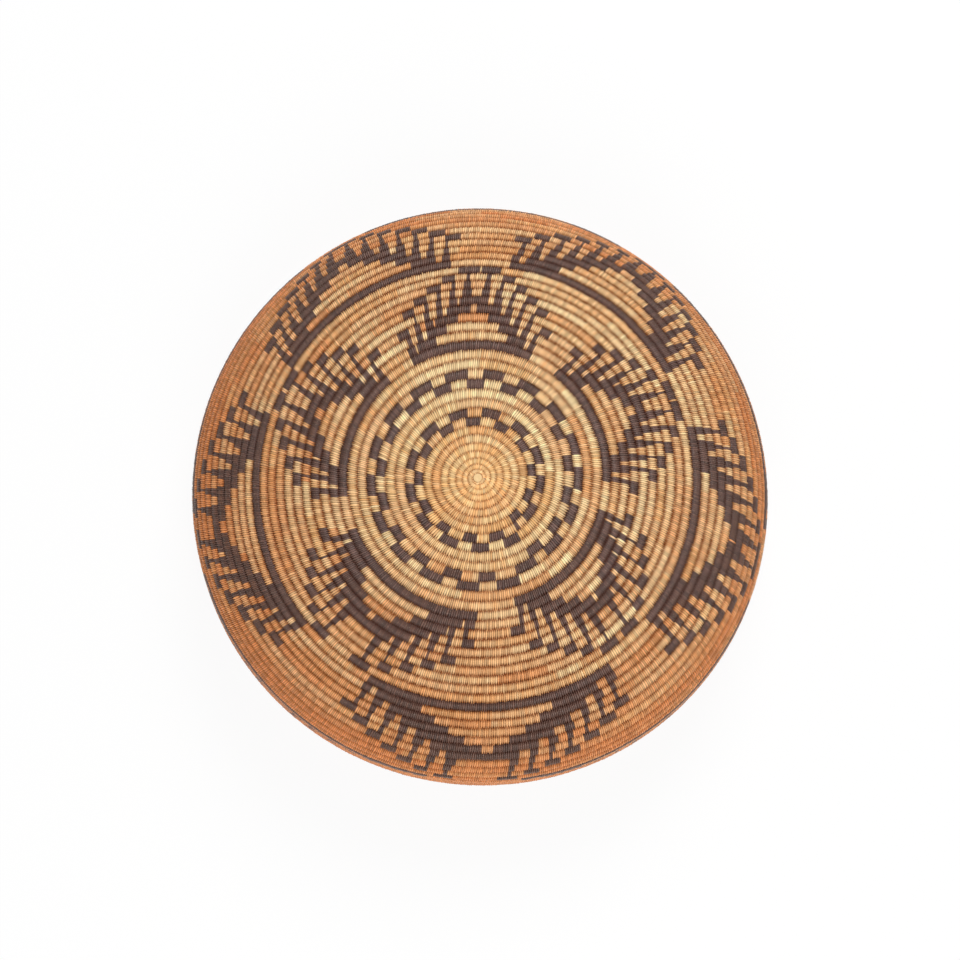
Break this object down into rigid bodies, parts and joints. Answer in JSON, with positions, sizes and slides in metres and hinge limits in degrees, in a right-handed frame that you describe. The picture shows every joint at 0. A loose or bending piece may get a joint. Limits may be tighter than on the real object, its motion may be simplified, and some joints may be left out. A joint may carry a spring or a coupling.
{
  "type": "coiled basket",
  "caption": "Deep round coiled palm bowl basket, standing mouth down, with a sewn spiral wall and a folk pattern of stepped dyed chevrons and posts.",
  "frame": {"origin": "centre of the mouth in the plane of the rim, so the basket stands mouth down on Z = 0", "axes": "+Z up, from the mouth to the base; +X is to the right and +Y is up in the picture; the spiral runs anticlockwise seen from above"},
  "size_m": [0.4675, 0.4677, 0.1748],
  "materials": {
    "natural_palm": "split palm leaf strips, sewn, satin, straw to orange tan",
    "dyed_palm": "split palm leaf strips boiled in bark dye, satin, dark brown"
  },
  "bodies": {
    "root": {"start_knot": "natural_palm", "coil_01": "natural_palm", "coil_02": "natural_palm", "coil_03": "natural_palm", "coil_04": "natural_palm", "coil_05": "natural_palm", "coil_06": "natural_palm", "coil_07": "natural_palm", "coil_08": "natural_palm", "coil_09": "natural_palm", "coil_10": "natural_palm", "coil_11": "natural_palm", "coil_12": "natural_palm", "coil_13": "natural_palm", "coil_14": "natural_palm", "coil_15": "natural_palm", "coil_16": "dyed_palm", "coil_17": "natural_palm", "coil_18": "natural_palm", "coil_19": "natural_palm", "coil_20": "natural_palm", "coil_21": "natural_palm", "coil_22": "natural_palm", "coil_23": "natural_palm", "coil_24": "natural_palm", "coil_25": "natural_palm", "coil_26": "dyed_palm", "coil_27": "natural_palm", "coil_28": "natural_palm", "coil_29": "natural_palm", "coil_30": "natural_palm", "coil_31": "natural_palm", "coil_32": "natural_palm", "coil_33": "natural_palm", "coil_34": "natural_palm", "coil_35": "natural_palm", "coil_36": "natural_palm", "coil_37": "dyed_palm", "coil_38": "natural_palm", "coil_39": "natural_palm", "coil_40": "natural_palm", "coil_41": "natural_palm", "coil_42": "natural_palm", "coil_43": "natural_palm", "coil_44": "natural_palm", "coil_45": "natural_palm", "coil_46": "natural_palm", "coil_47": "natural_palm", "coil_48": "natural_palm", "rim_coil": "natural_palm"}
  },
  "joints": []
}
